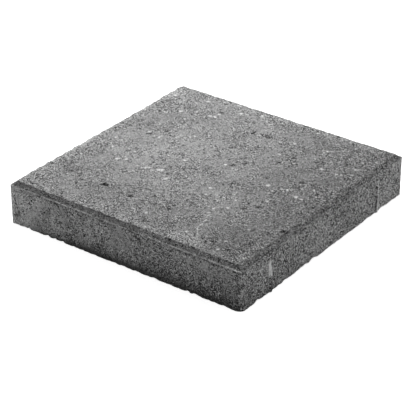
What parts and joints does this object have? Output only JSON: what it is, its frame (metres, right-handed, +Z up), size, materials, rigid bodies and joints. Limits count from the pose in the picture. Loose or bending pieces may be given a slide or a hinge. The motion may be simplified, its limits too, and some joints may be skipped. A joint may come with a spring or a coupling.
{
  "type": "concrete paving slab",
  "caption": "Square cast concrete paving slab with a chamfered, ledged top edge and upright spacer nibs on its adjoining sides, laid flat as paving.",
  "frame": {"origin": "centre of the underside, measured without the nibs", "axes": "+Z up, out of the walking face; +X and +Y out of the two sides that carry the spacer nibs"},
  "size_m": [0.3015, 0.3015, 0.05],
  "materials": {
    "concrete": "matt, sandy, as cast"
  },
  "bodies": {
    "root": {"slab": "concrete"}
  },
  "joints": []
}
